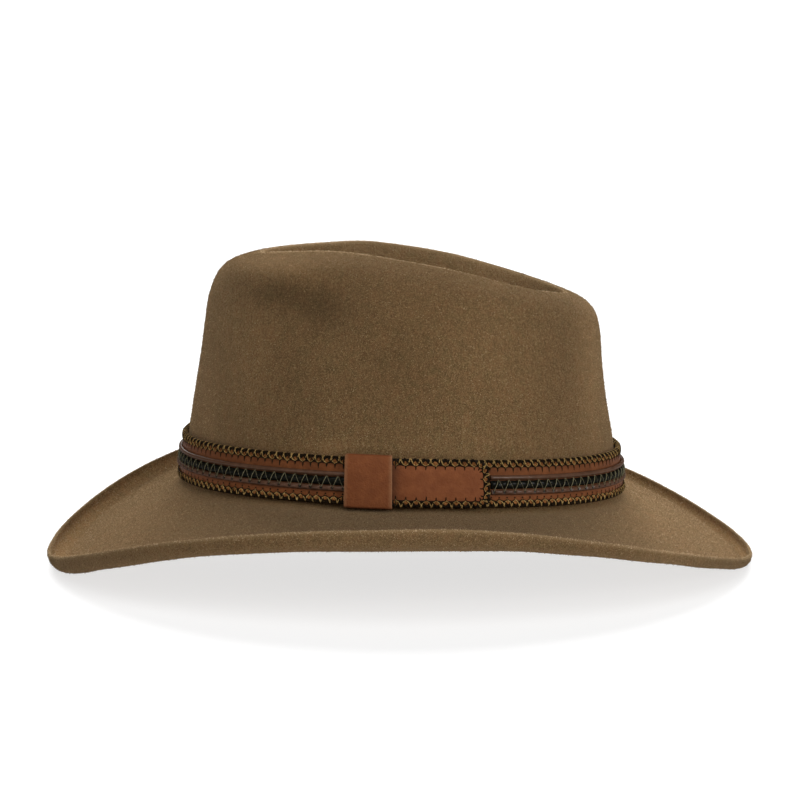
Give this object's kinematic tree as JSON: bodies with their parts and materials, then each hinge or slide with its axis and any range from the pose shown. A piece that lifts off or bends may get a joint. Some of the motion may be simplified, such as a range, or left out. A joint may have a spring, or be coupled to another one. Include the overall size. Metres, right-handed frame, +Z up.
{
  "type": "outback hat",
  "caption": "Blocked felt hat with a dented crown, a brim that dips front and back under a curled edge, and a laced leather band with a keeper loop.",
  "frame": {"origin": "on the resting surface, under the middle of the hat", "axes": "-Y to the front of the hat, +Y to its back, +X to the wearer's left, +Z up"},
  "size_m": [0.317, 0.346, 0.1548],
  "materials": {
    "felt": "matte brown wool felt",
    "strap_leather": "waxed brown leather",
    "tab_leather": "waxed brown leather",
    "loop_leather": "waxed brown leather with a pale cut edge",
    "piping_leather": "glossy dark brown leather",
    "black_leather": "glossy black leather"
  },
  "bodies": {
    "root": {"felt_body": "felt", "hat_band": "strap_leather", "upper_piping": "piping_leather", "centre_cord": "black_leather", "lower_piping": "piping_leather", "band_tab": "tab_leather", "band_loop": "loop_leather"}
  },
  "joints": []
}
